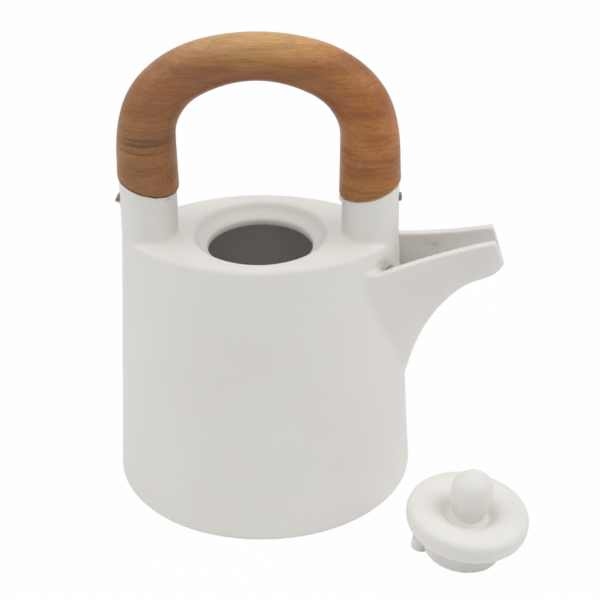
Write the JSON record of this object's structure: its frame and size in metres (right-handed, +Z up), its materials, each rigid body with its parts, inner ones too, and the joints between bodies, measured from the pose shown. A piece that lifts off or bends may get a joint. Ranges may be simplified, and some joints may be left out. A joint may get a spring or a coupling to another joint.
{
  "type": "teapot",
  "caption": "White stoneware teapot with an arched wooden handle pegged into clay sockets, an open beak spout and a loose ring-shaped lid that lies beside it.",
  "frame": {"origin": "centre of the flat foot, on the table", "axes": "+Z up, +X towards the tip of the spout, -Y towards the side where the lid lies"},
  "size_m": [0.1914, 0.1751, 0.2212],
  "materials": {
    "stoneware": "soft matte white glaze",
    "handle_wood": "oiled brown hardwood",
    "peg_wood": "dark raw dowel"
  },
  "bodies": {
    "pot": {"pot_body": "stoneware", "spout": "stoneware", "handle_post_left": "stoneware", "handle_post_right": "stoneware", "handle": "handle_wood", "peg_left": "peg_wood", "peg_right": "peg_wood"},
    "lid": {"lid": "stoneware", "lid_knob": "stoneware"}
  },
  "joints": [
    {"name": "lid_lift", "type": "slide", "parent": "pot", "child": "lid", "axis": [0, 0, 1], "range_m": [0, 0.13]}
  ]
}
